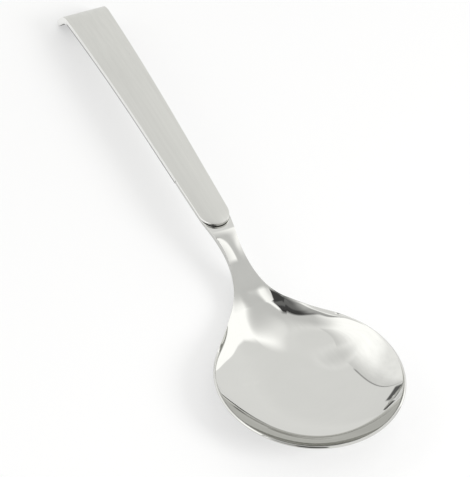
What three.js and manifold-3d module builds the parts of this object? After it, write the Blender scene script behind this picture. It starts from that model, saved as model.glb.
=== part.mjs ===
// Serving spoon for pizza sauce: a polished oval bowl with its neck and tang, a satin handle strip
// with a turned-down end, and the spot welds that hold the lap between tang and handle.
// Millimetres. X runs along the spoon to the handle's end, Z is up, and the origin is below the middle
// of the bowl's rim, on the flat underside of its floor and on the table that the spoon lies on.
import * as THREE from 'three';
import { mergeVertices } from 'three/addons/utils/BufferGeometryUtils.js';
import Module from 'manifold-3d';

const wasm = await Module();
wasm.setup();

// Bowl
const bowlHalfLength = 39.3;
const bowlHalfWidth = 34;
const rimHeight = 12; // above the table, at the middle of the bowl
const rimTilt = THREE.MathUtils.degToRad(5.5); // the front of the rim is the high end
const deepX = 4; // the wall rises from around this place to the rim
const floorHalfWidth = 7; // small flat floor, across the bowl
const wallCurve = 2.3; // power of the wall's rise: a higher one turns up later and steeper
const floorThickness = 1.5;
const rimThickness = 1.2;

// Neck: lengths from one place along X to the next, half widths, and heights of the top face
const shoulderX = 27; // the outline leaves the oval here
const shoulderHeight = 2.5; // along the middle, as the root's height below
const rimDropX = 20; // the edge leaves the rim's plane here
const rootLength = 20; // from the shoulder
const rootHalfWidth = 10.7;
const rootHeight = 4.4;
const rootTrough = 1.1; // the root's edges stand this much above its middle
const rootCurve = 6; // power of the rise to these edges: a higher one is steeper at the edge
const waistLength = 22; // from the root
const waistHalfWidth = 3.6;
const waistThickness = 2.8;
const riseLength = 13; // from the root to the steepest place
const riseHeight = 8.8;
const riseSlope = 0.41;
const crestLength = 11; // from the steepest place to where the neck turns level
const crestHeight = 12.7;
const crestSlope = 0.25;
const neckEndLength = 11.5; // from there to the handle's tip
const neckCrown = 0.35; // the neck's top is higher along its middle

// Handle strip, from its rounded tongue on the neck to its turned-down end
const tongueLength = 7.6; // from the rounded tip to the full width
const tongueHalfWidth = 5.9;
const tongueSlope = 0.06; // the neck still opens here
const handleHeight = 15.8; // top face of the level stretch
const handleThickness = 2.9;
const levelLength = 32; // from the lap's end to the long arch
const archLength = 82;
const archRadius = 850;
const bendRadius = 14;
const endAngle = THREE.MathUtils.degToRad(43); // fall of the turned-down end
const endHalfWidth = 9.7;
const endCornerRadius = 1.6;
const noseAngle = THREE.MathUtils.degToRad(76); // how far the end's edges are rounded
const topChamfer = 0.3;

// Lap between tang and handle, with its spot welds
const lapLength = 23; // from the tongue's full width
const tongueThickness = 1;
const clearance = 0.3;
const weldRadius = 2;
const weldHalfHeight = 0.4;
const weldNames = ['weld_front', 'weld_middle', 'weld_rear'];

// Facets
const sectionSteps = 24;
const frontSteps = 13;
const rearSteps = 12;
const neckSteps = 14;
const tangSteps = 4;
const tongueSteps = 8;
const archSteps = 12;
const levelSteps = 6;
const bendSteps = 8;
const noseSteps = 4;
const weldSides = 20;
const weldSteps = 4;

// Places along X
const rootX = shoulderX + rootLength;
const waistX = rootX + waistLength;
const riseX = rootX + riseLength;
const crestX = riseX + crestLength;
const tongueTipX = crestX + neckEndLength;
const tongueEndX = tongueTipX + tongueLength;
const lapEndX = tongueEndX + lapLength;
const archStartX = lapEndX + levelLength;

const tangTop = handleHeight - tongueThickness - clearance;
const handleUnderside = handleHeight - handleThickness;

const polished = new THREE.MeshStandardMaterial({ color: 0xd3d4d0, roughness: 0.06, metalness: 1 });
const satin = new THREE.MeshStandardMaterial({ color: 0xcfcfca, roughness: 0.38, metalness: 1 });
const weldSteel = new THREE.MeshStandardMaterial({ color: 0x9a9a96, roughness: 0.6, metalness: 1 });

// A smooth line through stations [place, value, slope].
function along(stations, x) {
  let k = 0;
  while (k < stations.length - 2 && x > stations[k + 1][0]) k += 1;
  const [x0, v0, m0] = stations[k];
  const [x1, v1, m1] = stations[k + 1];
  const span = x1 - x0;
  const u = THREE.MathUtils.clamp((x - x0) / span, 0, 1);
  const rise = u * u * (3 - 2 * u);
  const lead = u * (1 - u) * (1 - u) * span * m0;
  const tail = u * u * (u - 1) * span * m1;
  return v0 + (v1 - v0) * rise + lead + tail;
}

// Half width of the bowl's oval.
function ovalHalfWidth(x) {
  const share = Math.min(Math.abs(x) / bowlHalfLength, 1);
  return bowlHalfWidth * Math.sqrt(1 - share * share);
}

const shoulderHalfWidth = ovalHalfWidth(shoulderX);
const shoulderSlope = -(bowlHalfWidth ** 2 * shoulderX) / (bowlHalfLength ** 2 * shoulderHalfWidth);
const rootSlope = (rootHalfWidth - shoulderHalfWidth) / (rootX - shoulderX);
const neckOutline = [
  [shoulderX, shoulderHalfWidth, shoulderSlope],
  [rootX, rootHalfWidth, rootSlope],
  [waistX, waistHalfWidth, 0],
  [tongueEndX, tongueHalfWidth, tongueSlope],
];

// Handle: the profile of its top face, as a line, a long arch, the bend and the straight end.
const bendStartAngle = archLength / archRadius;
const bendTop = new THREE.Vector2(
  archStartX + archRadius * Math.sin(bendStartAngle),
  handleHeight - archRadius * (1 - Math.cos(bendStartAngle)),
);
const bendEnd = new THREE.Vector2(
  bendTop.x + bendRadius * (Math.sin(endAngle) - Math.sin(bendStartAngle)),
  bendTop.y - bendRadius * (Math.cos(bendStartAngle) - Math.cos(endAngle)),
);
const fall = new THREE.Vector2(Math.cos(endAngle), -Math.sin(endAngle));
const endNormal = new THREE.Vector2(Math.sin(endAngle), Math.cos(endAngle));
// The round nose touches the table, so its middle is half a thickness up.
const halfThickness = handleThickness / 2;
const noseTop = halfThickness + halfThickness * endNormal.y;
const straightEnd = (bendEnd.y - noseTop) / Math.sin(endAngle);
const noseStart = bendEnd.clone().addScaledVector(fall, straightEnd);
const handleEndX = noseStart.x;

// Half width of the strip and of the tang below it.
function stripHalfWidth(x) {
  if (x < tongueEndX) return along(neckOutline, x);
  return THREE.MathUtils.mapLinear(x, tongueEndX, handleEndX, tongueHalfWidth, endHalfWidth);
}

function outlineHalfWidth(x) {
  if (x < shoulderX) return ovalHalfWidth(x);
  return stripHalfWidth(x);
}

// Rise of the bowl's wall, from 0 on the flat floor to 1 at the rim.
const floorShare = floorHalfWidth / bowlHalfWidth;
function wallRise(share) {
  const climb = Math.max(share - floorShare, 0) / (1 - floorShare);
  return climb ** wallCurve;
}

// Share of the way from the deep place out to the oval, for a point at x and y.
function bowlShare(x, y) {
  const out = new THREE.Vector2((x - deepX) / bowlHalfLength, y / bowlHalfWidth);
  const deep = deepX / bowlHalfLength;
  const size = out.lengthSq();
  if (size < 1e-12) return 0;
  const lean = deep * out.x;
  return size / (Math.sqrt(lean * lean + size * (1 - deep * deep)) - lean);
}

function rimPlane(x) {
  return rimHeight - x * Math.tan(rimTilt);
}

const neckTop = [
  [riseX, riseHeight, riseSlope],
  [crestX, crestHeight, crestSlope],
  [tongueTipX, tangTop, 0],
];
const edgeLine = [
  [rimDropX, rimPlane(rimDropX), -Math.tan(rimTilt)],
  [rootX, rootHeight + rootTrough, 0],
  ...neckTop,
];
const floorEndX = deepX + (bowlHalfLength - deepX) * floorShare;
const middleSlope = (rootHeight - shoulderHeight) / rootLength;
const middleLine = [
  [floorEndX, floorThickness, 0],
  [shoulderX, shoulderHeight, middleSlope],
  [rootX, rootHeight, middleSlope],
  ...neckTop,
];

function edgeHeight(x) {
  return x < rimDropX ? rimPlane(x) : along(edgeLine, x);
}

// Height of the upper face at place x and share t of the half width.
function topHeight(x, t) {
  const share = Math.min(bowlShare(x, t * ovalHalfWidth(x)), 1);
  const edge = edgeHeight(x);
  if (x < floorEndX) return floorThickness + (edge - floorThickness) * wallRise(share);
  const troughX = (shoulderX + rootX) / 2;
  const blend = THREE.MathUtils.smoothstep(x, floorEndX, troughX);
  const start = wallRise(bowlShare(Math.min(x, troughX, bowlHalfLength - rimThickness), 0));
  const bowlShape = (Math.max(wallRise(share), start) - start) / (1 - start);
  const shape = THREE.MathUtils.lerp(bowlShape, Math.abs(t) ** rootCurve, blend);
  const crown = neckCrown * THREE.MathUtils.smoothstep(x, rootX, waistX);
  const level = 1 - THREE.MathUtils.smoothstep(x, waistX, tongueTipX);
  const middle = along(middleLine, x);
  return middle + (edge - middle) * shape - crown * level * t * t;
}

// Thickness measured straight down.
const thicknessLine = [
  [floorEndX, floorThickness, 0],
  [waistX, waistThickness, 0],
  [tongueEndX, tangTop - handleUnderside, 0],
];
function thickness(x, t) {
  const share = Math.min(bowlShare(x, t * ovalHalfWidth(x)), 1);
  const body = x < floorEndX ? floorThickness : along(thicknessLine, x);
  const thinning = 1 - THREE.MathUtils.smoothstep(x, floorEndX, rootX);
  return body - (floorThickness - rimThickness) * wallRise(share) * thinning;
}

// A closed body through rings of points; rings may close to an edge or a point at either end.
function loft(rings) {
  const count = rings[0].length;
  const points = rings.flat();
  const index = [];
  for (let r = 0; r + 1 < rings.length; r += 1) {
    for (let k = 0; k < count; k += 1) {
      const a = r * count + k;
      const b = r * count + ((k + 1) % count);
      index.push(a, b, b + count, a, b + count, a + count);
    }
  }
  return { points, index, count };
}

// Caps the last ring, whose upper and lower points lie opposite each other.
function capEnd(body) {
  const first = body.points.length - body.count;
  const half = body.count / 2;
  for (let k = 0; k + 1 < half; k += 1) {
    const a = first + k;
    const b = first + k + 1;
    const c = first + body.count - 2 - k;
    const d = first + body.count - 1 - k;
    body.index.push(a, b, c, a, c, d);
  }
}

// Merges points that coincide and drops the triangles that this closes up.
function closedGeometry(body) {
  const raw = new THREE.BufferGeometry().setFromPoints(body.points);
  raw.setIndex(body.index);
  const merged = mergeVertices(raw, 1e-5);
  const old = merged.index.array;
  const kept = [];
  for (let k = 0; k < old.length; k += 3) {
    const [a, b, c] = [old[k], old[k + 1], old[k + 2]];
    if (a !== b && b !== c && c !== a) kept.push(a, b, c);
  }
  merged.setIndex(kept);
  return merged;
}

function toSolid(geometry) {
  const bare = geometry.clone();
  bare.deleteAttribute('normal');
  bare.deleteAttribute('uv');
  const merged = mergeVertices(bare, 1e-5);
  return new wasm.Manifold(new wasm.Mesh({
    numProp: 3,
    vertProperties: new Float32Array(merged.attributes.position.array),
    triVerts: new Uint32Array(merged.index.array),
  }));
}

function toGeometry(solid) {
  const mesh = solid.getMesh();
  const geometry = new THREE.BufferGeometry();
  geometry.setAttribute('position', new THREE.BufferAttribute(mesh.vertProperties, 3));
  geometry.setIndex(new THREE.BufferAttribute(mesh.triVerts, 1));
  geometry.computeVertexNormals();
  return geometry;
}

// One cross-section of the bowl, neck and tang: the upper face from left to right, the lower one back.
function bowlSection(x) {
  const half = outlineHalfWidth(x);
  const upper = [];
  const lower = [];
  for (let k = 0; k <= sectionSteps; k += 1) {
    const t = 1 - 2 * k / sectionSteps;
    const top = topHeight(x, t);
    upper.push(new THREE.Vector3(x, t * half, top));
    lower.push(new THREE.Vector3(x, t * half, top - thickness(x, t)));
  }
  return [...upper, ...lower.reverse()];
}

function bowlPlaces() {
  const places = [];
  for (let k = 0; k <= frontSteps; k += 1) {
    places.push(-bowlHalfLength * Math.cos((k / frontSteps) * Math.PI / 2));
  }
  for (let k = 1; k <= rearSteps; k += 1) places.push((k / rearSteps) * rootX);
  for (let k = 1; k <= neckSteps; k += 1) places.push(rootX + (k / neckSteps) * (tongueEndX - rootX));
  for (let k = 1; k <= tangSteps; k += 1) places.push(tongueEndX + (k / tangSteps) * lapLength);
  return places;
}

// A spot weld's lens, standing on its axis.
function lensGeometry(radius, halfHeight) {
  const dome = (radius * radius + halfHeight * halfHeight) / (2 * halfHeight);
  const reach = Math.asin(radius / dome);
  const profile = [];
  for (let k = -weldSteps; k <= weldSteps; k += 1) {
    const angle = reach * (1 - Math.abs(k) / weldSteps);
    const height = (dome * Math.cos(angle) - (dome - halfHeight)) * Math.sign(k);
    profile.push(new THREE.Vector2(dome * Math.sin(angle), height));
  }
  profile[0].x = 0;
  profile[2 * weldSteps].x = 0;
  const lens = new THREE.LatheGeometry(profile, weldSides);
  lens.rotateX(Math.PI / 2);
  return lens;
}

const weldHeight = tangTop + clearance / 2;
const weldPitch = lapLength / weldNames.length;
const weldPlaces = weldNames.map((name, k) => tongueEndX + (k + 0.5) * weldPitch);

function weldPockets() {
  return weldPlaces.map((x) => {
    const pocket = lensGeometry(weldRadius + clearance, weldHalfHeight + clearance);
    pocket.translate(x, 0, weldHeight);
    return toSolid(pocket);
  });
}

function makeBowl() {
  const rings = bowlPlaces().map(bowlSection);
  const body = loft(rings);
  capEnd(body);
  let solid = toSolid(closedGeometry(body));
  for (const pocket of weldPockets()) solid = solid.subtract(pocket);
  return toGeometry(solid);
}

// One ring of the strip: lower edge, chamfer's foot and top edge on the left, then on the right.
function stripRing(top, normal, depth, half, chamfer, inset) {
  const foot = top.clone().addScaledVector(normal, -chamfer);
  const low = top.clone().addScaledVector(normal, -depth);
  const inner = Math.max(half - chamfer, 0);
  return [
    new THREE.Vector3(low.x, half, low.y),
    new THREE.Vector3(foot.x, half, foot.y),
    new THREE.Vector3(top.x + inset, inner, top.y),
    new THREE.Vector3(top.x + inset, -inner, top.y),
    new THREE.Vector3(foot.x, -half, foot.y),
    new THREE.Vector3(low.x, -half, low.y),
  ];
}

function makeHandle() {
  const up = new THREE.Vector2(0, 1);
  const rings = [];
  // rounded tongue, from its tip to the full width
  for (let k = 0; k <= tongueSteps; k += 1) {
    const angle = (k / tongueSteps) * Math.PI / 2;
    const x = tongueTipX + tongueLength * (1 - Math.cos(angle));
    const half = tongueHalfWidth * Math.sin(angle);
    const top = new THREE.Vector2(x, handleHeight);
    rings.push(stripRing(top, up, handleThickness, half, topChamfer, topChamfer * Math.cos(angle)));
  }
  // level stretch over the tang, and on to the arch
  for (let k = 1; k <= levelSteps; k += 1) {
    const x = THREE.MathUtils.lerp(tongueEndX, archStartX, k / levelSteps);
    const top = new THREE.Vector2(x, handleHeight);
    rings.push(stripRing(top, up, handleThickness, stripHalfWidth(x), topChamfer, 0));
  }
  for (let k = 1; k <= archSteps; k += 1) {
    const angle = (k / archSteps) * bendStartAngle;
    const normal = new THREE.Vector2(Math.sin(angle), Math.cos(angle));
    const top = new THREE.Vector2(archStartX, handleHeight - archRadius).addScaledVector(normal, archRadius);
    rings.push(stripRing(top, normal, handleThickness, stripHalfWidth(top.x), topChamfer, 0));
  }
  const bendStartNormal = new THREE.Vector2(Math.sin(bendStartAngle), Math.cos(bendStartAngle));
  const bendCentre = bendTop.clone().addScaledVector(bendStartNormal, -bendRadius);
  for (let k = 1; k <= bendSteps; k += 1) {
    const angle = THREE.MathUtils.lerp(bendStartAngle, endAngle, k / bendSteps);
    const normal = new THREE.Vector2(Math.sin(angle), Math.cos(angle));
    const top = bendCentre.clone().addScaledVector(normal, bendRadius);
    rings.push(stripRing(top, normal, handleThickness, stripHalfWidth(top.x), topChamfer, 0));
  }
  // straight end with rounded corners, closed by a round nose
  for (let k = 0; k <= noseSteps; k += 1) {
    const angle = (k / noseSteps) * noseAngle;
    const reach = halfThickness * (1 - Math.cos(angle));
    const top = noseStart.clone().addScaledVector(fall, halfThickness * Math.sin(angle));
    top.addScaledVector(endNormal, -reach);
    const half = endHalfWidth - endCornerRadius * (1 - Math.cos(angle));
    const chamfer = topChamfer * Math.cos(angle);
    rings.push(stripRing(top, endNormal, handleThickness - 2 * reach, half, chamfer, 0));
  }
  const body = loft(rings);
  capEnd(body);
  let solid = toSolid(closedGeometry(body));
  solid = solid.subtract(lapRecess());
  for (const pocket of weldPockets()) solid = solid.subtract(pocket);
  return toGeometry(solid);
}

// The space that the tang takes from the underside of the strip.
function lapRecess() {
  const length = lapEndX + clearance - (tongueTipX - clearance);
  const depth = handleThickness - tongueThickness + clearance;
  const width = 2 * (stripHalfWidth(lapEndX) + clearance);
  const box = new THREE.BoxGeometry(length, width, depth);
  const lapTop = handleHeight - tongueThickness;
  box.translate(tongueTipX - clearance + length / 2, 0, lapTop - depth / 2);
  return toSolid(box);
}

function addMesh(group, name, geometry, material) {
  const mesh = new THREE.Mesh(geometry, material);
  mesh.name = name;
  group.add(mesh);
  return mesh;
}

const spoon = new THREE.Group();
addMesh(spoon, 'bowl', makeBowl(), polished);
addMesh(spoon, 'handle', makeHandle(), satin);
weldNames.forEach((name, k) => {
  const weld = addMesh(spoon, name, lensGeometry(weldRadius, weldHalfHeight), weldSteel);
  weld.position.set(weldPlaces[k], 0, weldHeight);
});

export default spoon;
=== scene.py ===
"""Serving spoon for pizza sauce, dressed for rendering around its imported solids."""

import math

import bmesh
import bpy
from mathutils import Matrix, Vector


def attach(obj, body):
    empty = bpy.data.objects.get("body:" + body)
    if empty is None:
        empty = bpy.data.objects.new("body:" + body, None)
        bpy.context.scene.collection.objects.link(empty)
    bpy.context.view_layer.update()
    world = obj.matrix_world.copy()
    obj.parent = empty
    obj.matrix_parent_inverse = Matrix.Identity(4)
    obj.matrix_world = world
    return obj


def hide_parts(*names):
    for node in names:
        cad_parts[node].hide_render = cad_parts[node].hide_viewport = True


bl_info = {
    "name": "Pizza sauce spoon",
    "version": (1, 0, 0),
    "blender": (4, 5, 0),
    "location": "3D View > Sidebar > Spoon",
    "description": "Models a polished serving spoon with a satin handle, and its studio stage",
    "category": "Object",
}

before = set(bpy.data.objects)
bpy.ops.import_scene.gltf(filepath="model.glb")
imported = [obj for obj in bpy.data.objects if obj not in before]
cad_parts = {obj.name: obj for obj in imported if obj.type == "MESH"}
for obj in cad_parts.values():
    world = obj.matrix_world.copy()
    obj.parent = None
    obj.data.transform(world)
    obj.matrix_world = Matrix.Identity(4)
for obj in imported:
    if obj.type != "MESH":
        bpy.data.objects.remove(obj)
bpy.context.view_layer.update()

# Shares that lay out the points of the modelled pieces
NECK_COLUMNS = (-1, -0.97, -0.88, -0.74, -0.45, 0, 0.45, 0.74, 0.88, 0.97, 1)
RIM_START = 0.975
WALL_RINGS = (0.15, 0.28, 0.37, 0.45, 0.53, 0.61, 0.69, 0.77, 0.85, 0.92, 0.965)
BOWL_RINGS = WALL_RINGS + (RIM_START, 0.983, 0.994, 1)
EDGE_POINTS = 24
NECK_ROWS = 18
TANG_ROWS = 3
TONGUE_ROWS = 14
ARCH_ROWS = 20
BEND_ROWS = 16
OUTLINE_STEPS = 400

# How the edges of the strip are rounded
NOSE_SHARE = 0.42
NOSE_SEGMENTS = 6
EDGE_SEGMENTS = 3
SHARP_ANGLE = math.radians(50)
SMOOTH_ANGLE = math.radians(35)

# Small lengths: the tang's last row, how near points count as one place, and the digits of a shift
END_ROW = 0.0004
NEAR = 1e-5
VERY_NEAR = 1e-6
SHIFT_DIGITS = 7

# Small shares: what counts as nothing, and the width of the tongue's tip before its points are joined
NOTHING = 1e-12
TIP_SHARE = 1e-4

# Counts of grains per metre along X, Y and Z in the finishes
POLISH_LINES = (2600, 900, 900)
POLISH_WAVES = (55, 55, 55)
POLISH_HAZE = (140, 90, 90)
POLISH_SCRATCHES = (160, 2600, 2600)
SATIN_LINES = (70, 5200, 5200)
SATIN_STREAKS = (9, 760, 760)
SATIN_PATCHES = (30, 60, 60)
SATIN_SCRATCHES = (40, 2400, 2400)
WELD_GRAIN = (1800, 1800, 1800)
WELD_TINT = (500, 500, 500)

# The studio's ceiling and its white screens: brightness, slant, and where each edge starts and ends
CEILING_GREY = 0.76
CEILING_PALE = 1.02
CEILING_TURN = (0.46, 0.72)
CEILING_FOLDS = 0.1
FOLD_COUNTS = (9, 26, 9)
RIGHT_SCREEN = (0.32, 0.38)
RIGHT_SCREEN_NEAR = (0.05, 0.42)
LEFT_SCREEN = (1.05, 1.8)
LEFT_SLANT = 1.5
HORIZON = 0.02

# The opening between the screens, with its lit wall, its dark gap, its shelf and its border
OPENING_SLANT = 0.22
OPENING_BOW = 0.05
OPENING_RIGHT = (-0.297, -0.28)
OPENING_NEAR = (0.05, 0.11)
OPENING_FAR = (0.39, 0.41)
WALL_LIT = 1.45
WALL_DIM = 1.0
WALL_TURN = (-0.28, -0.15)
GAP_DARK = 0.07
GAP_PALE = 0.5
GAP_TURN = (0.2, 1.1)
GAP_SLANT = 0.74
GAP_NEAR = (0.015, 0.04)
GAP_RIGHT = (-0.265, -0.245)
SHELF_PLACE = 0.33
SHELF_WIDTH = (0.01, 0.03)
SHELF_GLEAM = 0.12
BORDER_PLACE = 0.4
BORDER_WIDTH = (0.006, 0.022)
BORDER_RIGHT = (-0.3, -0.27)
BORDER_LEFT = (0.9, 1.5)
BORDER_SHADE = 0.5

# The panel overhead, with the places and slopes at which its near edge bends back
PANEL_NEAR = (0.65, 0.74)
PANEL_BENDS = ((0.62, 0.36), (1.1, 0.17))
PANEL_GAIN = 0.05
PANEL_TURN = (0.4, 1.2)

# The screen behind the panel's seam, with its hem and its foot
SEAM_SLANT = 0.32
SEAM_SHIFT = 0.02
SCREEN_GREY = 0.86
SCREEN_FAR = 1.15
SCREEN_TURN = (0.7, 1.8)
SCREEN_RISE = (0.0, 0.5)
SCREEN_EDGE = (0.0, 0.02)
SCREEN_NEAR = (0.61, 0.7)
SCREEN_FOLDS = 0.2
HEM_WIDTH = (0.006, 0.024)
HEM_NEAR = (0.76, 0.84)
HEM_SHADE = 0.55
FOOT_PLACE = 0.22
FOOT_WIDTH = (0.06, 0.09)
FOOT_TOP = (0.11, 0.14)
FOOT_FRONT = (0.0, 0.1)
FOOT_SHADE = 0.85

# The plain walls, the darker room behind the camera, and the dark camera
PLAIN_BRIGHT = 0.95
PLAIN_LEFT = (0.86, 0.94)
PLAIN_BACK = (0.06, 0.2)
ROOM_DARK = 0.45
ROOM_BACK = (0.0, 0.1)
ROOM_LEFT = (0.18, 0.26)
ROOM_LOW = (0.35, 0.5)
CAMERA_DARK = 0.05
CAMERA_EDGE = (0.955, 0.97)
CAMERA_AIM = Vector((-0.5, 0.4, 0.7)).normalized()
ROOM_COLOUR = (1, 1, 0.985, 1)


def length(name, description, default):
    """A length in metres that a user may change."""
    return bpy.props.FloatProperty(
        name=name, description=description, default=default, unit="LENGTH", precision=5
    )


def angle(name, description, degrees):
    """An angle that a user may change."""
    return bpy.props.FloatProperty(
        name=name, description=description, default=math.radians(degrees), subtype="ANGLE", unit="ROTATION"
    )


def plain(name, description, default):
    """A plain number that a user may change."""
    return bpy.props.FloatProperty(name=name, description=description, default=default, precision=3)


def colour(name, description, default):
    """A colour that a user may change."""
    return bpy.props.FloatVectorProperty(
        name=name, description=description, default=default, size=3, subtype="COLOR", min=0, max=1
    )


def position(name, description, default):
    """A place in metres that a user may change."""
    return bpy.props.FloatVectorProperty(
        name=name, description=description, default=default, size=3, subtype="TRANSLATION", precision=4
    )


class SpoonSizes(bpy.types.PropertyGroup):
    """Sizes of the bowl, the neck and the handle."""

    bowl_half_length: length("Bowl half length", "Half the length of the bowl's oval", 0.0393)
    bowl_half_width: length("Bowl half width", "Half the width of the bowl's oval", 0.034)
    rim_height: length("Rim height", "Height of the rim above the table at its middle", 0.012)
    rim_tilt: angle("Rim tilt", "How much higher the rim's front is", 5.5)
    deep_place: length("Deep place", "Place along the spoon that the wall rises around", 0.004)
    floor_half_width: length("Floor half width", "Half the width of the small flat floor", 0.007)
    wall_curve: plain("Wall curve", "Power of the wall's rise from the floor to the rim", 2.3)
    floor_thickness: length("Floor thickness", "Thickness of the bowl's floor", 0.0015)
    rim_thickness: length("Rim thickness", "Thickness of the bowl at its rim", 0.0012)
    rim_round: length("Rim round", "How far the rim drops to its outer edge", 0.0009)
    shoulder_place: length("Shoulder place", "Where the outline leaves the oval", 0.027)
    rim_drop_place: length("Rim drop place", "Where the edge leaves the rim's plane", 0.02)
    shoulder_height: length("Shoulder height", "Height of the floor's middle at the shoulder", 0.002)
    root_length: length("Root length", "From the shoulder to the neck's root", 0.02)
    root_half_width: length("Root half width", "Half the width of the neck's root", 0.0107)
    root_height: length("Root height", "Height of the neck's root at its middle", 0.0044)
    root_trough: length("Root trough", "How much higher the root's edges are", 0.0011)
    root_curve: plain("Root curve", "Power of the root's rise from its middle to its edges", 6.0)
    waist_length: length("Waist length", "From the root to the narrowest place", 0.022)
    waist_half_width: length("Waist half width", "Half the narrowest width", 0.0036)
    waist_thickness: length("Waist thickness", "Thickness at the narrowest place", 0.0028)
    rise_length: length("Rise length", "From the root to the steepest place", 0.013)
    rise_height: length("Rise height", "Height of the steepest place", 0.0088)
    rise_slope: plain("Rise slope", "Slope of the steepest place", 0.41)
    crest_length: length("Crest length", "From the steepest place to where the neck turns level", 0.011)
    crest_height: length("Crest height", "Height where the neck turns level", 0.0127)
    crest_slope: plain("Crest slope", "Slope where the neck turns level", 0.25)
    neck_end_length: length("Neck end length", "From there to the handle's tip", 0.0115)
    neck_crown: length("Neck crown", "How much higher the neck's middle is", 0.00012)
    tongue_length: length("Tongue length", "From the handle's tip to its full width", 0.0076)
    tongue_half_width: length("Tongue half width", "Half the width there", 0.0059)
    tongue_slope: plain("Tongue slope", "How fast the neck opens there", 0.06)
    lap_length: length("Lap length", "How far the tang runs on under the handle", 0.023)
    tongue_thickness: length("Tongue thickness", "Thickness of the handle over the tang", 0.001)
    clearance: length("Clearance", "Gap between the tang and the handle", 0.0003)
    handle_height: length("Handle height", "Height of the handle's level top face", 0.0158)
    handle_thickness: length("Handle thickness", "Thickness of the strip", 0.0029)
    level_length: length("Level length", "From the lap's end to the arch", 0.032)
    arch_length: length("Arch length", "Length of the long arch", 0.082)
    arch_radius: length("Arch radius", "Radius of the long arch", 0.85)
    bend_radius: length("Bend radius", "Radius of the bend before the end", 0.014)
    end_angle: angle("End angle", "Fall of the turned-down end", 43)
    end_half_width: length("End half width", "Half the width of the handle's end", 0.0097)
    end_corner: length("End corner", "Rounding of the end's corners", 0.0016)
    edge_round: length("Edge round", "Rounding of the strip's edges", 0.0003)


class SpoonFinish(bpy.types.PropertyGroup):
    """Colours and smoothness of the steel."""

    polished_colour: colour("Polished steel", "Colour of the mirror-polished bowl", (0.67, 0.67, 0.65))
    satin_colour: colour("Satin steel", "Colour of the satin handle", (0.66, 0.66, 0.635))
    # paler than the steel's own colour: a painted highlight for the bright reflection in the polished side
    # faces
    side_highlight_colour: colour("Polished edge", "Colour of the handle's polished side faces", (0.93, 0.93, 0.91))
    weld_colour: colour("Weld steel", "Colour of the hidden welds", (0.42, 0.41, 0.39))
    polish_centre: length("Polish centre", "Place that the polishing lines turn around", 0.004)
    polished_tint: colour("Polished tint", "Tint of the polish at a glancing view", (0.83, 0.83, 0.82))
    polished_roughness: plain("Polish", "Roughness of the polished steel", 0.012)
    satin_roughness: plain("Satin", "Roughness of the satin steel", 0.36)


class SpoonStage(bpy.types.PropertyGroup):
    """Light, floor and camera."""

    floor_colour: colour("Floor", "Colour of the table", (0.9, 0.9, 0.9))
    floor_size: length("Floor size", "Width of the table", 6.0)
    floor_drop: length("Floor drop", "How far the table lies below the spoon", 0.0001)
    floor_glow: plain("Floor glow", "Share of the table's own light where it is seen", 0.5)
    panel_grey: plain("Panel", "Brightness of the panel overhead", 0.95)
    wall_white: plain("Walls", "Brightness of the screens round the table", 1.5)
    key_power: plain("Key lamp", "Power of the soft lamp at the front right, in watts", 9.0)
    key_place: position("Key place", "Place of the soft lamp", (-0.87, -0.6, 0.62))
    key_target: position("Key target", "Place that the soft lamp points at", (0.08, 0, 0))
    key_size: length("Key size", "Width of the soft lamp", 0.5)
    camera_place: position("Camera place", "Place of the camera", (-0.5648, 0.2652, 0.6672))
    camera_pitch: angle("Camera pitch", "How far the camera looks down", 43.31)
    camera_turn: angle("Camera turn", "The camera's turn about the vertical", -112.72)
    camera_roll: angle("Camera roll", "The camera's turn about its own line of sight", -0.41)
    camera_lens: plain("Lens", "Focal length in millimetres", 188.7)


def smooth_step(value, start, end):
    """Rises smoothly from 0 at start to 1 at end."""
    share = min(max((value - start) / (end - start), 0.0), 1.0)
    return share * share * (3 - 2 * share)


def line_through(stations, place):
    """A smooth line through stations of place, value and slope."""
    k = 0
    while k < len(stations) - 2 and place > stations[k + 1][0]:
        k += 1
    start, start_value, start_slope = stations[k]
    end, end_value, end_slope = stations[k + 1]
    span = end - start
    u = min(max((place - start) / span, 0.0), 1.0)
    rise = u * u * (3 - 2 * u)
    lead = u * (1 - u) ** 2 * span * start_slope
    tail = u * u * (u - 1) * span * end_slope
    return start_value + (end_value - start_value) * rise + lead + tail


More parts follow.
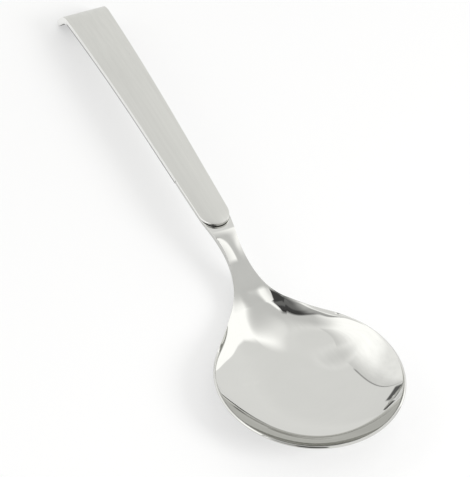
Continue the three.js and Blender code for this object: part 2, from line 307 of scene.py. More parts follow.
class SpoonShape:
    """Widths, heights and thicknesses along the spoon, worked out from its sizes."""

    def __init__(self, sizes):
        self.sizes = sizes
        self.root = sizes.shoulder_place + sizes.root_length
        self.waist = self.root + sizes.waist_length
        self.rise = self.root + sizes.rise_length
        self.crest = self.rise + sizes.crest_length
        self.tongue_tip = self.crest + sizes.neck_end_length
        self.tongue_end = self.tongue_tip + sizes.tongue_length
        self.lap_end = self.tongue_end + sizes.lap_length
        self.arch_start = self.lap_end + sizes.level_length
        self.tang_top = sizes.handle_height - sizes.tongue_thickness - sizes.clearance
        self.underside = sizes.handle_height - sizes.handle_thickness
        self.floor_share = sizes.floor_half_width / sizes.bowl_half_width
        self.floor_end = sizes.deep_place + (sizes.bowl_half_length - sizes.deep_place) * self.floor_share
        self.neck_outline = self.outline_stations()
        self.edge_line, self.middle_line = self.height_stations()
        self.thickness_line = (
            (self.floor_end, sizes.floor_thickness, 0),
            (self.waist, sizes.waist_thickness, 0),
            (self.tongue_end, self.tang_top - self.underside, 0),
        )
        self.handle_end = self.handle_profile()[-1][0].x

    def outline_stations(self):
        """Half widths of the neck, from the oval's shoulder to the handle's full width."""
        s = self.sizes
        shoulder = self.oval_half_width(s.shoulder_place)
        lean = s.bowl_half_width**2 * s.shoulder_place / (s.bowl_half_length**2 * shoulder)
        return (
            (s.shoulder_place, shoulder, -lean),
            (self.root, s.root_half_width, (s.root_half_width - shoulder) / s.root_length),
            (self.waist, s.waist_half_width, 0),
            (self.tongue_end, s.tongue_half_width, s.tongue_slope),
        )

    def height_stations(self):
        """Heights of the neck's edge and of its middle."""
        s = self.sizes
        neck = (
            (self.rise, s.rise_height, s.rise_slope),
            (self.crest, s.crest_height, s.crest_slope),
            (self.tongue_tip, self.tang_top, 0),
        )
        drop = (s.rim_drop_place, self.rim_plane(s.rim_drop_place), -math.tan(s.rim_tilt))
        edge = (drop, (self.root, s.root_height + s.root_trough, 0)) + neck
        # the slope grows steadily from the floor to the shoulder, and from there to the root
        shoulder_slope = 2 * (s.shoulder_height - s.floor_thickness) / (s.shoulder_place - self.floor_end)
        root_slope = 2 * (s.root_height - s.shoulder_height) / s.root_length - shoulder_slope
        middle = (
            (self.floor_end, s.floor_thickness, 0),
            (s.shoulder_place, s.shoulder_height, shoulder_slope),
            (self.root, s.root_height, root_slope),
        ) + neck
        return edge, middle

    def oval_half_width(self, place):
        """Half width of the bowl's oval."""
        share = min(abs(place) / self.sizes.bowl_half_length, 1.0)
        return self.sizes.bowl_half_width * math.sqrt(1 - share * share)

    def strip_half_width(self, place):
        """Half width of the neck and of the handle strip."""
        if place < self.tongue_end:
            return line_through(self.neck_outline, place)
        share = (place - self.tongue_end) / (self.handle_end - self.tongue_end)
        narrow = self.sizes.tongue_half_width
        return narrow + (self.sizes.end_half_width - narrow) * share

    def half_width(self, place):
        """Half width of the spoon's outline."""
        if place < self.sizes.shoulder_place:
            return self.oval_half_width(place)
        return self.strip_half_width(place)

    def wall_rise(self, share):
        """Rise of the bowl's wall, from 0 on its floor to 1 at the rim."""
        climb = max(share - self.floor_share, 0.0) / (1 - self.floor_share)
        return climb**self.sizes.wall_curve

    def bowl_share(self, place, across):
        """Share of the way from the deep place out to the oval."""
        s = self.sizes
        deep = s.deep_place / s.bowl_half_length
        out = Vector(((place - s.deep_place) / s.bowl_half_length, across / s.bowl_half_width))
        size = out.length_squared
        if size < NOTHING:
            return 0.0
        lean = deep * out.x
        return min(size / (math.sqrt(lean * lean + size * (1 - deep * deep)) - lean), 1.0)

    def rim_plane(self, place):
        """Height of the tilted plane of the rim."""
        return self.sizes.rim_height - place * math.tan(self.sizes.rim_tilt)

    def top(self, place, across):
        """Height of the upper face of the bowl, the neck and the tang."""
        s = self.sizes
        half = self.half_width(place)
        t = min(max(across / half, -1.0), 1.0) if half > VERY_NEAR else 0.0
        rise = self.wall_rise(self.bowl_share(place, t * self.oval_half_width(place)))
        if place < s.rim_drop_place:
            edge = self.rim_plane(place)
        else:
            edge = line_through(self.edge_line, place)
        if place < self.floor_end:
            return s.floor_thickness + (edge - s.floor_thickness) * rise
        trough = (s.shoulder_place + self.root) / 2
        blend = smooth_step(place, self.floor_end, trough)
        start = self.wall_rise(self.bowl_share(min(place, trough), 0))
        bowl_shape = (max(rise, start) - start) / (1 - start)
        shape = bowl_shape + (abs(t) ** s.root_curve - bowl_shape) * blend
        crown = s.neck_crown * smooth_step(place, self.root, self.waist)
        crown *= 1 - smooth_step(place, self.waist, self.tongue_tip)
        middle = line_through(self.middle_line, place)
        return middle + (edge - middle) * shape - crown * t * t

    def thickness(self, place, across):
        """Thickness straight down from the upper face."""
        s = self.sizes
        half = self.half_width(place)
        t = min(max(across / half, -1.0), 1.0) if half > VERY_NEAR else 0.0
        rise = self.wall_rise(self.bowl_share(place, t * self.oval_half_width(place)))
        body = s.floor_thickness if place < self.floor_end else line_through(self.thickness_line, place)
        thinning = 1 - smooth_step(place, self.floor_end, self.root)
        return body - (s.floor_thickness - s.rim_thickness) * rise * thinning

    def bottom(self, place, across):
        """Height of the lower face."""
        return self.top(place, across) - self.thickness(place, across)

    def bowl_edge(self):
        """Points round the bowl: across the neck's root from right to left, then round by the tip."""
        s = self.sizes
        root = [Vector((self.root, t * s.root_half_width, 0)) for t in NECK_COLUMNS]
        trace = []
        for k in range(OUTLINE_STEPS + 1):
            reach = math.sin(k / OUTLINE_STEPS * math.pi / 2)
            place = self.root - (self.root + s.bowl_half_length) * reach
            trace.append(Vector((place, self.half_width(place), 0)))
        travelled = [0.0]
        for a, b in zip(trace, trace[1:]):
            travelled.append(travelled[-1] + (b - a).length)
        left = []
        k = 0
        for n in range(1, EDGE_POINTS + 1):
            wanted = travelled[-1] * n / EDGE_POINTS
            while k < OUTLINE_STEPS - 1 and travelled[k + 1] < wanted:
                k += 1
            part = (wanted - travelled[k]) / (travelled[k + 1] - travelled[k])
            left.append(trace[k].lerp(trace[k + 1], min(part, 1.0)))
        left[-1].y = 0
        right = [Vector((p.x, -p.y, 0)) for p in reversed(left[:-1])]
        return root + left + right

    def handle_profile(self):
        """Top line of the handle past its level stretch: points with their normals."""
        s = self.sizes
        turn = s.arch_length / s.arch_radius
        centre = Vector((self.arch_start, 0, s.handle_height - s.arch_radius))
        points = []
        for k in range(1, ARCH_ROWS + 1):
            normal = Vector((math.sin(turn * k / ARCH_ROWS), 0, math.cos(turn * k / ARCH_ROWS)))
            points.append((centre + normal * s.arch_radius, normal))
        bend_top, bend_normal = points[-1]
        centre = bend_top - bend_normal * s.bend_radius
        for k in range(1, BEND_ROWS + 1):
            lean = turn + (s.end_angle - turn) * k / BEND_ROWS
            normal = Vector((math.sin(lean), 0, math.cos(lean)))
            points.append((centre + normal * s.bend_radius, normal))
        # the straight end stops where its round nose touches the table
        half = s.handle_thickness / 2
        fall = Vector((math.cos(s.end_angle), 0, -math.sin(s.end_angle)))
        last, normal = points[-1]
        run = (last.z - half - half * math.cos(s.end_angle)) / math.sin(s.end_angle)
        points.append((last + fall * (run + half), normal))
        return points


def start_fresh():
    """Leaves nothing selected, so that an operator acts on the new piece alone."""
    if bpy.context.object and bpy.context.object.mode != "OBJECT":
        bpy.ops.object.mode_set(mode="OBJECT")
    bpy.ops.object.select_all(action="DESELECT")


def take_up(name):
    """Names the new primitive and opens it in edit mode by its points."""
    piece = bpy.context.object
    piece.name = name
    piece.data.name = name
    bpy.ops.object.transform_apply(location=True, rotation=True, scale=True)
    bpy.ops.object.mode_set(mode="EDIT")
    bpy.ops.mesh.select_mode(type="VERT")
    return piece


def select_points(piece, wanted):
    """Selects the points for which wanted is true."""
    mesh = bmesh.from_edit_mesh(piece.data)
    bpy.ops.mesh.select_all(action="DESELECT")
    for point in mesh.verts:
        point.select = wanted(point.co)
    mesh.select_flush(True)
    bmesh.update_edit_mesh(piece.data)


def move_points(piece, target):
    """Moves each selected point to its target, with points of equal shift together."""
    mesh = bmesh.from_edit_mesh(piece.data)
    points = [v for v in mesh.verts if v.select]
    shifts = {}
    for point in points:
        shift = target(point.co.copy()) - point.co
        shifts.setdefault(tuple(round(c, SHIFT_DIGITS) for c in shift), []).append(point)
    for shift, group in shifts.items():
        if not any(shift):
            continue
        bpy.ops.mesh.select_all(action="DESELECT")
        for point in group:
            point.select = True
        mesh.select_flush(True)
        bmesh.update_edit_mesh(piece.data, loop_triangles=False, destructive=False)
        bpy.ops.transform.translate(value=shift)
    bpy.ops.mesh.select_all(action="DESELECT")
    for point in points:
        point.select = True
    mesh.select_flush(True)
    bmesh.update_edit_mesh(piece.data)


def extrude_selected(shift):
    """Extrudes the selected edges or faces and moves them."""
    bpy.ops.mesh.extrude_region_move(TRANSFORM_OT_translate={"value": shift})


def settle_mesh(piece):
    """Turns all faces outwards, leaves edit mode and shades the piece smooth."""
    bpy.ops.mesh.select_all(action="SELECT")
    bpy.ops.mesh.remove_doubles(threshold=1e-7)
    bpy.ops.mesh.normals_make_consistent(inside=False)
    bpy.ops.object.mode_set(mode="OBJECT")
    bpy.ops.object.shade_smooth()


def apply_modifier(piece, kind, **settings):
    """Adds a modifier, sets it and applies it."""
    modifier = piece.modifiers.new(kind.title(), kind)
    for name, value in settings.items():
        setattr(modifier, name, value)
    bpy.context.view_layer.objects.active = piece
    bpy.ops.object.modifier_apply(modifier=modifier.name)


def lifted(shape, place, deep, level, drop):
    """The place at the height of the upper face, or at the rim's height less a drop."""
    if place.x > shape.sizes.shoulder_place:
        return Vector((place.x, place.y, shape.top(place.x, place.y)))
    measured = deep + (place - deep) * level
    return Vector((place.x, place.y, shape.top(measured.x, measured.y) - drop))


def model_bowl(shape):
    """The bowl, its neck and its tang as one stamped piece."""
    sizes = shape.sizes
    edge = shape.bowl_edge()
    deep = Vector((sizes.deep_place, 0, 0))
    start_fresh()
    bpy.ops.mesh.primitive_circle_add(vertices=len(edge), radius=sizes.floor_half_width, fill_type="TRIFAN")
    piece = take_up("bowl_piece")
    # the round becomes a small copy of the bowl's outline on the floor
    mesh = bmesh.from_edit_mesh(piece.data)
    rim = [v for v in mesh.verts if v.co.length > sizes.floor_half_width / 2]
    rim.sort(key=lambda v: math.atan2(v.co.y, v.co.x) % (2 * math.pi))
    lead = NECK_COLUMNS.index(0)
    order = {}
    for k, point in enumerate(rim):
        order[point.co.copy().freeze()] = edge[(k + lead) % len(edge)]

    def first_ring(place):
        key = place.copy().freeze()
        spot = deep + (order[key] - deep) * BOWL_RINGS[0] if key in order else deep.copy()
        spot.z = shape.top(spot.x, spot.y)
        return spot

    bpy.ops.mesh.select_all(action="SELECT")
    move_points(piece, first_ring)
    # each further ring is extruded outwards and raised to the wall
    middle = deep + Vector((0, 0, sizes.floor_thickness))
    select_points(piece, lambda place: (place - middle).length > NEAR)
    for inner, outer in zip(BOWL_RINGS, BOWL_RINGS[1:]):
        extrude_selected((0, 0, 0))
        scale = outer / inner
        bpy.ops.transform.resize(value=(scale, scale, 1), center_override=deep)
        # the outermost rings take the rim's height and drop outwards from it, as its slanted edge
        level = 1 / outer if outer > RIM_START else 1.0
        drop = sizes.rim_round * max(outer - RIM_START, 0.0) / (1 - RIM_START)
        move_points(piece, lambda place: lifted(shape, place, deep, level, drop))
    # the root's row is drawn out along the neck and the tang
    select_points(piece, lambda place: abs(place.x - shape.root) < NEAR)
    neck = shape.tongue_end - shape.root
    tang = sizes.lap_length - END_ROW
    rows = [shape.root + neck * k / NECK_ROWS for k in range(NECK_ROWS + 1)]
    rows += [shape.tongue_end + tang * k / TANG_ROWS for k in range(1, TANG_ROWS + 1)]
    rows.append(shape.lap_end)
    for last, place in zip(rows, rows[1:]):
        extrude_selected((place - last, 0, 0))
        scale = shape.half_width(place) / shape.half_width(last)
        bpy.ops.transform.resize(value=(1, scale, 1), center_override=(place, 0, 0))
        move_points(piece, lambda spot: Vector((spot.x, spot.y, shape.top(spot.x, spot.y))))
    # the whole sheet gets its thickness
    bpy.ops.mesh.select_all(action="SELECT")
    extrude_selected((0, 0, -sizes.rim_thickness))
    move_points(piece, lambda spot: Vector((spot.x, spot.y, shape.bottom(spot.x, spot.y))))
    settle_mesh(piece)
    apply_modifier(piece, "SUBSURF", levels=2, render_levels=2)
    return piece


def model_handle(shape):
    """The satin strip with its rounded tongue and its turned-down end."""
    sizes = shape.sizes
    start_fresh()
    half = sizes.tongue_half_width
    middle = (shape.tongue_end + half, 0, sizes.handle_height)
    bpy.ops.mesh.primitive_plane_add(size=2 * half, location=middle)
    piece = take_up("handle_piece")
    # the level stretch, to the start of the arch
    select_points(piece, lambda place: place.x > shape.tongue_end + half)
    level = shape.arch_start
    scale = shape.strip_half_width(level) / half
    bpy.ops.transform.translate(value=(level - shape.tongue_end - 2 * half, 0, 0))
    bpy.ops.transform.resize(value=(1, scale, 1), center_override=(level, 0, 0))
    # the arch, the bend and the straight end, row by row
    last = Vector((level, 0, sizes.handle_height))
    for top, normal in shape.handle_profile():
        extrude_selected(top - last)
        scale = shape.strip_half_width(top.x) / shape.strip_half_width(last.x)
        bpy.ops.transform.resize(value=(1, scale, 1), center_override=top)
        last = top
    # the rounded tongue, narrowing to its tip
    select_points(piece, lambda place: abs(place.x - shape.tongue_end) < VERY_NEAR)
    for k in range(1, TONGUE_ROWS + 1):
        before = (k - 1) / TONGUE_ROWS * math.pi / 2
        turn = k / TONGUE_ROWS * math.pi / 2
        extrude_selected((-sizes.tongue_length * (math.sin(turn) - math.sin(before)), 0, 0))
        scale = max(math.cos(turn), TIP_SHARE) / math.cos(before)
        bpy.ops.transform.resize(value=(1, scale, 1), center_override=(0, 0, 0))
    bpy.ops.mesh.select_all(action="SELECT")
    bpy.ops.mesh.remove_doubles(threshold=NEAR)
    bpy.ops.mesh.normals_make_consistent(inside=False)
    bpy.ops.object.mode_set(mode="OBJECT")
    if piece.data.polygons[0].normal.z < 0:
        piece.data.flip_normals()
    apply_modifier(piece, "SOLIDIFY", thickness=sizes.handle_thickness, offset=-1, use_even_offset=True)
    round_handle_end(piece, shape)
    cut_lap(piece, shape)
    sharp = {"limit_method": "ANGLE", "angle_limit": SHARP_ANGLE}
    apply_modifier(piece, "BEVEL", width=sizes.edge_round, segments=EDGE_SEGMENTS, **sharp)
    bpy.ops.object.shade_smooth_by_angle(angle=SMOOTH_ANGLE)
    return piece


def round_handle_end(piece, shape):
    """Rounds the corners of the turned-down end, and then its nose."""
    sizes = shape.sizes
    bpy.ops.object.mode_set(mode="EDIT")
    end = shape.handle_profile()[-1][0].x - sizes.handle_thickness
    bpy.ops.mesh.select_mode(type="EDGE")
    for corner in (True, False):
        mesh = bmesh.from_edit_mesh(piece.data)
        bpy.ops.mesh.select_all(action="DESELECT")
        for rod in mesh.edges:
            a, b = (v.co for v in rod.verts)
            at_end = min(a.x, b.x) > end - NEAR and len(rod.link_faces) == 2
            along = abs(a.y - b.y) < VERY_NEAR
            sharp = at_end and rod.calc_face_angle(0) > SHARP_ANGLE
            rod.select = sharp and along == corner
        mesh.select_flush_mode()
        bmesh.update_edit_mesh(piece.data)
        offset = sizes.end_corner if corner else sizes.handle_thickness * NOSE_SHARE
        bpy.ops.mesh.bevel(offset=offset, segments=NOSE_SEGMENTS, profile=0.5)
    bpy.ops.object.mode_set(mode="OBJECT")


def cut_lap(piece, shape):
    """Cuts the space of the tang from the underside of the handle."""
    sizes = shape.sizes
    bpy.ops.object.select_all(action="DESELECT")
    low = shape.tongue_tip - sizes.clearance
    high = shape.lap_end + sizes.clearance
    lap_top = sizes.handle_height - sizes.tongue_thickness
    depth = sizes.handle_thickness
    bpy.ops.mesh.primitive_cube_add(size=1, location=((low + high) / 2, 0, lap_top - depth / 2))
    cutter = bpy.context.object
    cutter.scale = (high - low, 4 * sizes.tongue_half_width, depth)
    bpy.ops.object.transform_apply(location=True, rotation=True, scale=True)
    apply_modifier(piece, "BOOLEAN", operation="DIFFERENCE", object=cutter, solver="EXACT")
    bpy.data.objects.remove(cutter)
    bpy.ops.object.select_all(action="DESELECT")
    piece.select_set(True)
    bpy.context.view_layer.objects.active = piece


class Value:
    """A number in a node tree, with the operators of arithmetic."""

    def __init__(self, tree, socket):
        self.tree = tree
        self.socket = socket

    def sum_up(self, operation, *others):
        """Adds a Math node that works on this number and others."""
        inputs = {0: self}
        inputs.update({k + 1: other for k, other in enumerate(others)})
        return self.tree.node("ShaderNodeMath", {"operation": operation}, inputs).out(0)

    def __add__(self, other):
        return self.sum_up("ADD", other)

    def __radd__(self, other):
        return self.sum_up("ADD", other)

    def __sub__(self, other):
        return self.sum_up("SUBTRACT", other)

    def __rsub__(self, other):
        return (self * -1).sum_up("ADD", other)

    def __mul__(self, other):
        return self.sum_up("MULTIPLY", other)

    def __rmul__(self, other):
        return self.sum_up("MULTIPLY", other)

    def __truediv__(self, other):
        return self.sum_up("DIVIDE", other)

    def size(self):
        """The number without its sign."""
        return self.sum_up("ABSOLUTE")

    def between(self, start, end):
        """Rises smoothly from 0 at start to 1 at end."""
        settings = {"interpolation_type": "SMOOTHSTEP"}
        return self.tree.node("ShaderNodeMapRange", settings, {0: self, 1: start, 2: end}).out(0)

    def line_at(self, place, core, end):
        """1 nearer than core to a place, and falling smoothly to 0 at the end's distance from it."""
        return 1 - (self - place).size().between(core, end)


class Made:
    """A node that has been added, whose outputs can be taken."""

    def __init__(self, tree, node):
        self.tree = tree
        self.node = node

    def out(self, key):
        """One of the node's outputs."""
        return Value(self.tree, self.node.outputs[key])


class Nodes:
    """Adds nodes to a material or a world."""

    def __init__(self, owner):
        owner.use_nodes = True
        self.tree = owner.node_tree
        self.tree.nodes.clear()

    def node(self, kind, settings=None, inputs=None):
        """Adds a node, sets its settings and then its sockets by value or link."""
        node = self.tree.nodes.new(kind)
        for name, value in (settings or {}).items():
            setattr(node, name, value)
        for key, value in (inputs or {}).items():
            if isinstance(value, Value):
                self.tree.links.new(value.socket, node.inputs[key])
            else:
                node.inputs[key].default_value = value
        return Made(self, node)

    def mix(self, factor, first, second):
        """A colour between two colours."""
        made = self.node("ShaderNodeMix", {"data_type": "RGBA"}, {"Factor": factor, 6: first, 7: second})
        return made.out(2)

    def tones(self, factor, rgb, dark, pale):
        """A colour between a darker and a paler shade of the same one."""
        return self.mix(factor, shade(rgb, dark), shade(rgb, pale))

    def noise(self, place, stretch, detail=3.0, roughness=0.5):
        """Noise whose grains have the stretch's counts per metre along X, Y and Z."""
        mapped = self.node("ShaderNodeMapping", {}, {"Vector": place, "Scale": stretch}).out(0)
        inputs = {"Vector": mapped, "Scale": 1.0, "Detail": detail, "Roughness": roughness}
        return self.node("ShaderNodeTexNoise", {}, inputs).out(0)

    def bump(self, height, strength, distance):
        """A normal that follows a height."""
        inputs = {"Height": height, "Strength": strength, "Distance": distance}
        return self.node("ShaderNodeBump", {}, inputs).out(0)


def shade(rgb, factor):
    """A colour made lighter or darker, for a colour socket."""
    return tuple(min(c * factor, 1.0) for c in rgb) + (1.0,)


def finish_material(tree, inputs):
    """Closes a material with its surface."""
    surface = tree.node("ShaderNodeBsdfPrincipled", {}, inputs).out(0)
    tree.node("ShaderNodeOutputMaterial", {}, {"Surface": surface})


def polished_steel(finish):
    """Mirror polish with turned polishing lines, faint waviness, haze and a few fine scratches."""
    material = bpy.data.materials.new("polished_steel")
    tree = Nodes(material)
    place = tree.node("ShaderNodeTexCoord").out("Object")
    axes = tree.node("ShaderNodeSeparateXYZ", {}, {0: place})
    along = axes.out("X") - finish.polish_centre
    across = axes.out("Y")
    radius = (along * along + across * across).sum_up("SQRT")
    round_about = {"X": radius, "Y": along * 0.02, "Z": across * 0.02}
    turned = tree.node("ShaderNodeCombineXYZ", {}, round_about).out(0)
    lines = tree.noise(turned, POLISH_LINES, detail=2.0)
    waviness = tree.noise(place, POLISH_WAVES, detail=1.0)
    haze = tree.noise(place, POLISH_HAZE, detail=4.0)
    scratches = tree.noise(place, POLISH_SCRATCHES, detail=2.0).between(0.7, 0.78)
    tone = tree.tones(haze * 0.6 + lines * 0.4, finish.polished_colour, dark=0.97, pale=1.03)
    roughness = finish.polished_roughness + haze * 0.02 + lines * 0.012 + scratches * 0.05
    height = waviness + scratches * 0.004 + lines * 0.006
    normal = tree.bump(height, strength=0.25, distance=0.0001)
    inputs = {"Base Color": tone, "Metallic": 1.0, "Roughness": roughness, "Normal": normal}
    finish_material(tree, inputs | {"Specular Tint": shade(finish.polished_tint, 1.0)})
    return material


def painted_lower_edge_shade(tree, place, facing, side_face, shape):
    """Painted shade: where the strip's lower edges and the lowest line of its side faces are darkened, as
    far as the bend.
    """
    sizes = shape.sizes
    down = facing.out("Z") * -1
    rounded = down.between(0.1, 0.4) * (1 - down.between(0.85, 0.97))
    axes = tree.node("ShaderNodeSeparateXYZ", {}, {0: place})
    past = (axes.out("X") - shape.arch_start).sum_up("MAXIMUM", 0.0)
    above = axes.out("Z") + past * past / (2 * sizes.arch_radius) - shape.underside
    line = above.line_at(sizes.edge_round, sizes.edge_round, sizes.edge_round * 2)
    straight = 1 - past.between(sizes.arch_length, sizes.arch_length + sizes.handle_thickness)
    return rounded.sum_up("MAXIMUM", line * side_face * straight)


def satin_steel(finish, shape):
    """Satin brushed along the strip, with polished side faces painted paler as a painted highlight, and
    painted shade on the lower edges.
    """
    material = bpy.data.materials.new("satin_steel")
    tree = Nodes(material)
    coordinates = tree.node("ShaderNodeTexCoord")
    place = coordinates.out("Object")
    lines = tree.noise(place, SATIN_LINES, detail=3.0, roughness=0.65)
    streaks = tree.noise(place, SATIN_STREAKS, detail=3.0)
    patches = tree.noise(place, SATIN_PATCHES, detail=2.0)
    scratches = tree.noise(place, SATIN_SCRATCHES, detail=1.0).between(0.7, 0.8)
    facing = tree.node("ShaderNodeSeparateXYZ", {}, {0: coordinates.out("Normal")})
    polish = facing.out("Y").size().between(0.3, 0.8)
    lower_edge_shade = painted_lower_edge_shade(tree, place, facing, polish, shape)
    grain = lines * 0.35 + streaks * 0.4 + patches * 0.25
    brushed = tree.tones(grain.between(0.3, 0.7), finish.satin_colour, dark=0.95, pale=1.04)
    # painted highlight: the polished side faces take a paler colour than the steel has, for the bright
    # reflection they catch
    tone = tree.mix(polish, brushed, shade(finish.side_highlight_colour, 1.0))
    # painted shade: the lower edges take a quarter of the satin colour, standing in for the shade beneath
    # the strip
    tone = tree.mix(lower_edge_shade, tone, shade(finish.satin_colour, 0.25))
    satin = finish.satin_roughness + (lines - 0.5) * 0.16 + (patches - 0.5) * 0.08 - scratches * 0.06
    roughness = satin * (1 - polish) + polish * 0.1
    height = (lines + streaks * 0.6 + scratches * 0.15) * (1 - polish)
    normal = tree.bump(height, strength=0.22, distance=0.00006)
    finish_material(tree, {"Base Color": tone, "Metallic": 1.0, "Roughness": roughness, "Normal": normal})
    return material


def weld_steel(finish):
    """Bare fused steel with ripples and heat tint."""
    material = bpy.data.materials.new("weld_steel")
    tree = Nodes(material)
    place = tree.node("ShaderNodeTexCoord").out("Object")
    grain = tree.noise(place, WELD_GRAIN, detail=4.0)
    tint = tree.noise(place, WELD_TINT, detail=2.0)
    tone = tree.tones(tint, finish.weld_colour, dark=0.8, pale=1.2)
    roughness = 0.45 + grain * 0.25
    normal = tree.bump(grain, strength=0.4, distance=0.00005)
    finish_material(tree, {"Base Color": tone, "Metallic": 1.0, "Roughness": roughness, "Normal": normal})
    return material


def dress(piece, material, node):
    """Gives a new piece its finish and lets it stand for its solid."""
    piece.data.materials.clear()
    piece.data.materials.append(material)
    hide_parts(node)
    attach(piece, "root")


def blend(first, second, share):
    """A number that goes from the first to the second as the share rises."""
    return first + (second - first) * share


class Room:
    """Brightness of the studio by direction, told by how far ahead and aside of straight up it lies."""

    def __init__(self, tree, stage):
        direction = tree.node("ShaderNodeTexCoord").out("Generated")
        axes = tree.node("ShaderNodeSeparateXYZ", {}, {0: direction})
        self.x, self.y, self.z = (axes.out(k) for k in "XYZ")
        up = self.z.sum_up("MAXIMUM", HORIZON)
        self.ahead = self.x / up
        self.aside = self.y / up
        self.right = self.aside * -1
        self.back = self.x * -1
        self.white = stage.wall_white
        self.panel_grey = stage.panel_grey
        self.folds = tree.noise(direction, FOLD_COUNTS, detail=4.0) - 0.5

    def ceiling(self):
        """Grey over the neck and paler ahead, with white screens at its right and its left."""
        grey = blend(CEILING_GREY, CEILING_PALE, self.ahead.between(*CEILING_TURN))
        right = self.right.between(*RIGHT_SCREEN) * self.ahead.between(*RIGHT_SCREEN_NEAR)
        left = (self.aside + self.ahead * LEFT_SLANT).between(*LEFT_SCREEN)
        return blend(grey, self.white, right.sum_up("MAXIMUM", left)) + self.folds * CEILING_FOLDS

    def add_opening(self, bright):
        """The opening between the screens: a lit wall, and a dark gap with a shelf and a dark border."""
        aside = self.aside
        reach = self.ahead + aside * OPENING_SLANT - aside * aside * OPENING_BOW
        wall = blend(WALL_LIT, WALL_DIM, aside.between(*WALL_TURN))
        shelf = reach.line_at(SHELF_PLACE, *SHELF_WIDTH) * SHELF_GLEAM
        gap = blend(GAP_DARK, GAP_PALE, aside.between(*GAP_TURN)) + shelf
        gap_side = (aside + self.ahead * GAP_SLANT).between(*GAP_NEAR) * aside.between(*GAP_RIGHT)
        opening = blend(wall, gap, gap_side)
        inside = aside.between(*OPENING_RIGHT) * self.ahead.between(*OPENING_NEAR)
        bright = blend(bright, opening, inside * (1 - reach.between(*OPENING_FAR)))
        border = reach.line_at(BORDER_PLACE, *BORDER_WIDTH) * aside.between(*BORDER_RIGHT)
        return bright * (1 - border * (1 - aside.between(*BORDER_LEFT)) * BORDER_SHADE)

    def add_panel(self, bright):
        """The grey panel overhead, whose near edge bends back at the right."""
        reach = self.ahead
        for place, slope in PANEL_BENDS:
            reach = reach + (self.aside + place).sum_up("MINIMUM", 0.0) * slope
        panel = blend(self.panel_grey, self.panel_grey + PANEL_GAIN, self.right.between(*PANEL_TURN))
        return blend(bright, panel, reach.between(*PANEL_NEAR))

    def add_seam(self, bright):
        """The white screen behind the panel's seam, with a dark hem and a dark foot on the table."""
        seam = self.aside - self.ahead * SEAM_SLANT + SEAM_SHIFT
        white = blend(self.white, SCREEN_FAR, self.ahead.between(*SCREEN_TURN))
        screen = blend(SCREEN_GREY, white, seam.between(*SCREEN_RISE)) + self.folds * SCREEN_FOLDS
        bright = blend(bright, screen, seam.between(*SCREEN_EDGE) * self.ahead.between(*SCREEN_NEAR))
        hem = seam.line_at(0.0, *HEM_WIDTH) * self.ahead.between(*HEM_NEAR) * HEM_SHADE
        low = (1 - self.z.between(*FOOT_TOP)) * self.x.between(*FOOT_FRONT)
        foot = (self.y / self.x).line_at(FOOT_PLACE, *FOOT_WIDTH) * low * FOOT_SHADE
        return bright * (1 - hem) * (1 - foot)

    def add_plain_walls(self, bright):
        """Plain walls at the far left and on the bowl's side of the room."""
        plain_side = self.y.between(*PLAIN_LEFT).sum_up("MAXIMUM", self.back.between(*PLAIN_BACK))
        return blend(bright, PLAIN_BRIGHT, plain_side)

    def add_camera(self, bright):
        """The darker room behind the camera, and the dark camera, a little to the left of where it is."""
        dark_side = self.back.between(*ROOM_BACK) * self.y.between(*ROOM_LEFT) * self.z.between(*ROOM_LOW)
        bright = blend(bright, ROOM_DARK, dark_side)
        towards = self.x * CAMERA_AIM.x + self.y * CAMERA_AIM.y + self.z * CAMERA_AIM.z
        return blend(bright, CAMERA_DARK, towards.between(*CAMERA_EDGE))


def light_room(stage):
    """The studio round the table, which the polished steel mirrors."""
    world = bpy.data.worlds.new("studio")
    bpy.context.scene.world = world
    tree = Nodes(world)
    room = Room(tree, stage)
    bright = room.add_opening(room.ceiling())
    bright = room.add_seam(room.add_panel(bright))
    bright = room.add_camera(room.add_plain_walls(bright))
    backdrop = tree.node("ShaderNodeBackground", {}, {"Color": ROOM_COLOUR, "Strength": bright}).out(0)
    tree.node("ShaderNodeOutputWorld", {}, {"Surface": backdrop})


def light_key(stage):
    """Large soft lamp at the front right, which throws the shadow to the back left."""
    bpy.ops.object.light_add(type="AREA", location=stage.key_place)
    lamp = bpy.context.object
    lamp.name = "key_lamp"
    lamp.data.shape = "DISK"
    lamp.data.size = stage.key_size
    lamp.data.energy = stage.key_power
    lamp.visible_glossy = False
    aim = Vector(stage.key_target) - lamp.location
    lamp.rotation_euler = aim.to_track_quat("-Z", "Y").to_euler()


def lay_floor(stage):
    """Pale table that keeps the spoon's shadow."""
    bpy.ops.mesh.primitive_plane_add(size=stage.floor_size, location=(0, 0, -stage.floor_drop))
    floor = bpy.context.object
    floor.name = "table"
    material = bpy.data.materials.new("table_paper")
    tree = Nodes(material)
    path = tree.node("ShaderNodeLightPath")
    seen = path.out("Is Camera Ray").sum_up("MAXIMUM", path.out("Is Glossy Ray"))
    seen = seen.sum_up("MAXIMUM", path.out("Is Transmission Ray"))
    diffuse = tree.node("ShaderNodeBsdfDiffuse", {}, {"Color": shade(stage.floor_colour, 1.0)}).out(0)
    glow = tree.node("ShaderNodeEmission", {}, {"Color": (1, 1, 1, 1), "Strength": 1.0}).out(0)
    surface = tree.node("ShaderNodeMixShader", {}, {0: seen * stage.floor_glow, 1: diffuse, 2: glow}).out(0)
    tree.node("ShaderNodeOutputMaterial", {}, {"Surface": surface})
    floor.data.materials.append(material)


def place_camera(stage):
    """Camera at the photograph's angle."""
    bpy.ops.object.camera_add(location=stage.camera_place)
    camera = bpy.context.object
    camera.name = "camera"
    turn = Matrix.Rotation(stage.camera_turn, 3, "Z")
    pitch = Matrix.Rotation(math.pi / 2 - stage.camera_pitch, 3, "X")
    roll = Matrix.Rotation(stage.camera_roll, 3, "Z")
    camera.rotation_euler = (turn @ pitch @ roll).to_euler()
    camera.data.sensor_width = 36
    camera.data.lens = stage.camera_lens
    camera.data.clip_start = 0.01
    bpy.context.scene.camera = camera


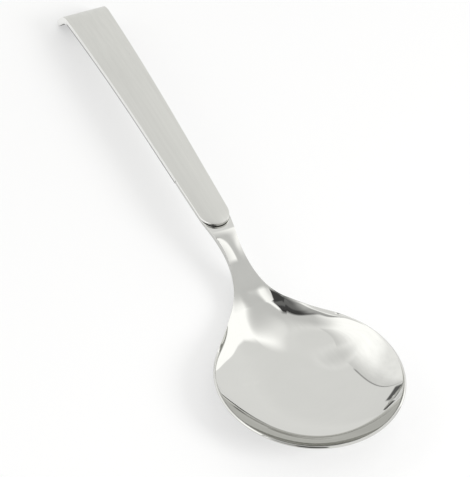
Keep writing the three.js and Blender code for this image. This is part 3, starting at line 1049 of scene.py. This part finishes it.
class SPOON_OT_bowl(bpy.types.Operator):
    """Models the polished bowl with its neck and tang"""

    bl_idname = "spoon.bowl"
    bl_label = "Model the bowl"

    def execute(self, context):
        scene = context.scene
        piece = model_bowl(SpoonShape(scene.spoon_sizes))
        dress(piece, polished_steel(scene.spoon_finish), "bowl")
        return {"FINISHED"}


class SPOON_OT_handle(bpy.types.Operator):
    """Models the satin handle strip"""

    bl_idname = "spoon.handle"
    bl_label = "Model the handle"

    def execute(self, context):
        scene = context.scene
        shape = SpoonShape(scene.spoon_sizes)
        piece = model_handle(shape)
        dress(piece, satin_steel(scene.spoon_finish, shape), "handle")
        return {"FINISHED"}


class SPOON_OT_welds(bpy.types.Operator):
    """Gives the hidden spot welds their finish"""

    bl_idname = "spoon.welds"
    bl_label = "Finish the welds"

    def execute(self, context):
        material = weld_steel(context.scene.spoon_finish)
        for name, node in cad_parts.items():
            if name.startswith("weld_"):
                node.data.materials.clear()
                node.data.materials.append(material)
        return {"FINISHED"}


class SPOON_OT_stage(bpy.types.Operator):
    """Sets up the table, the light and the camera"""

    bl_idname = "spoon.stage"
    bl_label = "Set the stage"

    def execute(self, context):
        stage = context.scene.spoon_stage
        start_fresh()
        context.scene.view_settings.view_transform = "Standard"
        lay_floor(stage)
        light_room(stage)
        light_key(stage)
        place_camera(stage)
        return {"FINISHED"}


class SPOON_PT_panel(bpy.types.Panel):
    """Lists the spoon's operators and its sizes"""

    bl_label = "Spoon"
    bl_idname = "SPOON_PT_panel"
    bl_space_type = "VIEW_3D"
    bl_region_type = "UI"
    bl_category = "Spoon"

    def draw(self, context):
        for operator in ("spoon.bowl", "spoon.handle", "spoon.welds", "spoon.stage"):
            self.layout.operator(operator)
        for group in (context.scene.spoon_sizes, context.scene.spoon_finish, context.scene.spoon_stage):
            box = self.layout.box()
            for name in group.__annotations__:
                box.prop(group, name)


CLASSES = (
    SpoonSizes,
    SpoonFinish,
    SpoonStage,
    SPOON_OT_bowl,
    SPOON_OT_handle,
    SPOON_OT_welds,
    SPOON_OT_stage,
    SPOON_PT_panel,
)


def register():
    """Registers the classes and puts the settings on the scene."""
    for cls in CLASSES:
        bpy.utils.register_class(cls)
    bpy.types.Scene.spoon_sizes = bpy.props.PointerProperty(type=SpoonSizes)
    bpy.types.Scene.spoon_finish = bpy.props.PointerProperty(type=SpoonFinish)
    bpy.types.Scene.spoon_stage = bpy.props.PointerProperty(type=SpoonStage)


def unregister():
    """Takes the settings off the scene and removes the classes."""
    del bpy.types.Scene.spoon_stage
    del bpy.types.Scene.spoon_finish
    del bpy.types.Scene.spoon_sizes
    for cls in reversed(CLASSES):
        bpy.utils.unregister_class(cls)


def main():
    """Makes the pieces and the stage."""
    register()
    bpy.ops.spoon.bowl()
    bpy.ops.spoon.handle()
    bpy.ops.spoon.welds()
    bpy.ops.spoon.stage()


if __name__ == "__main__":
    main()
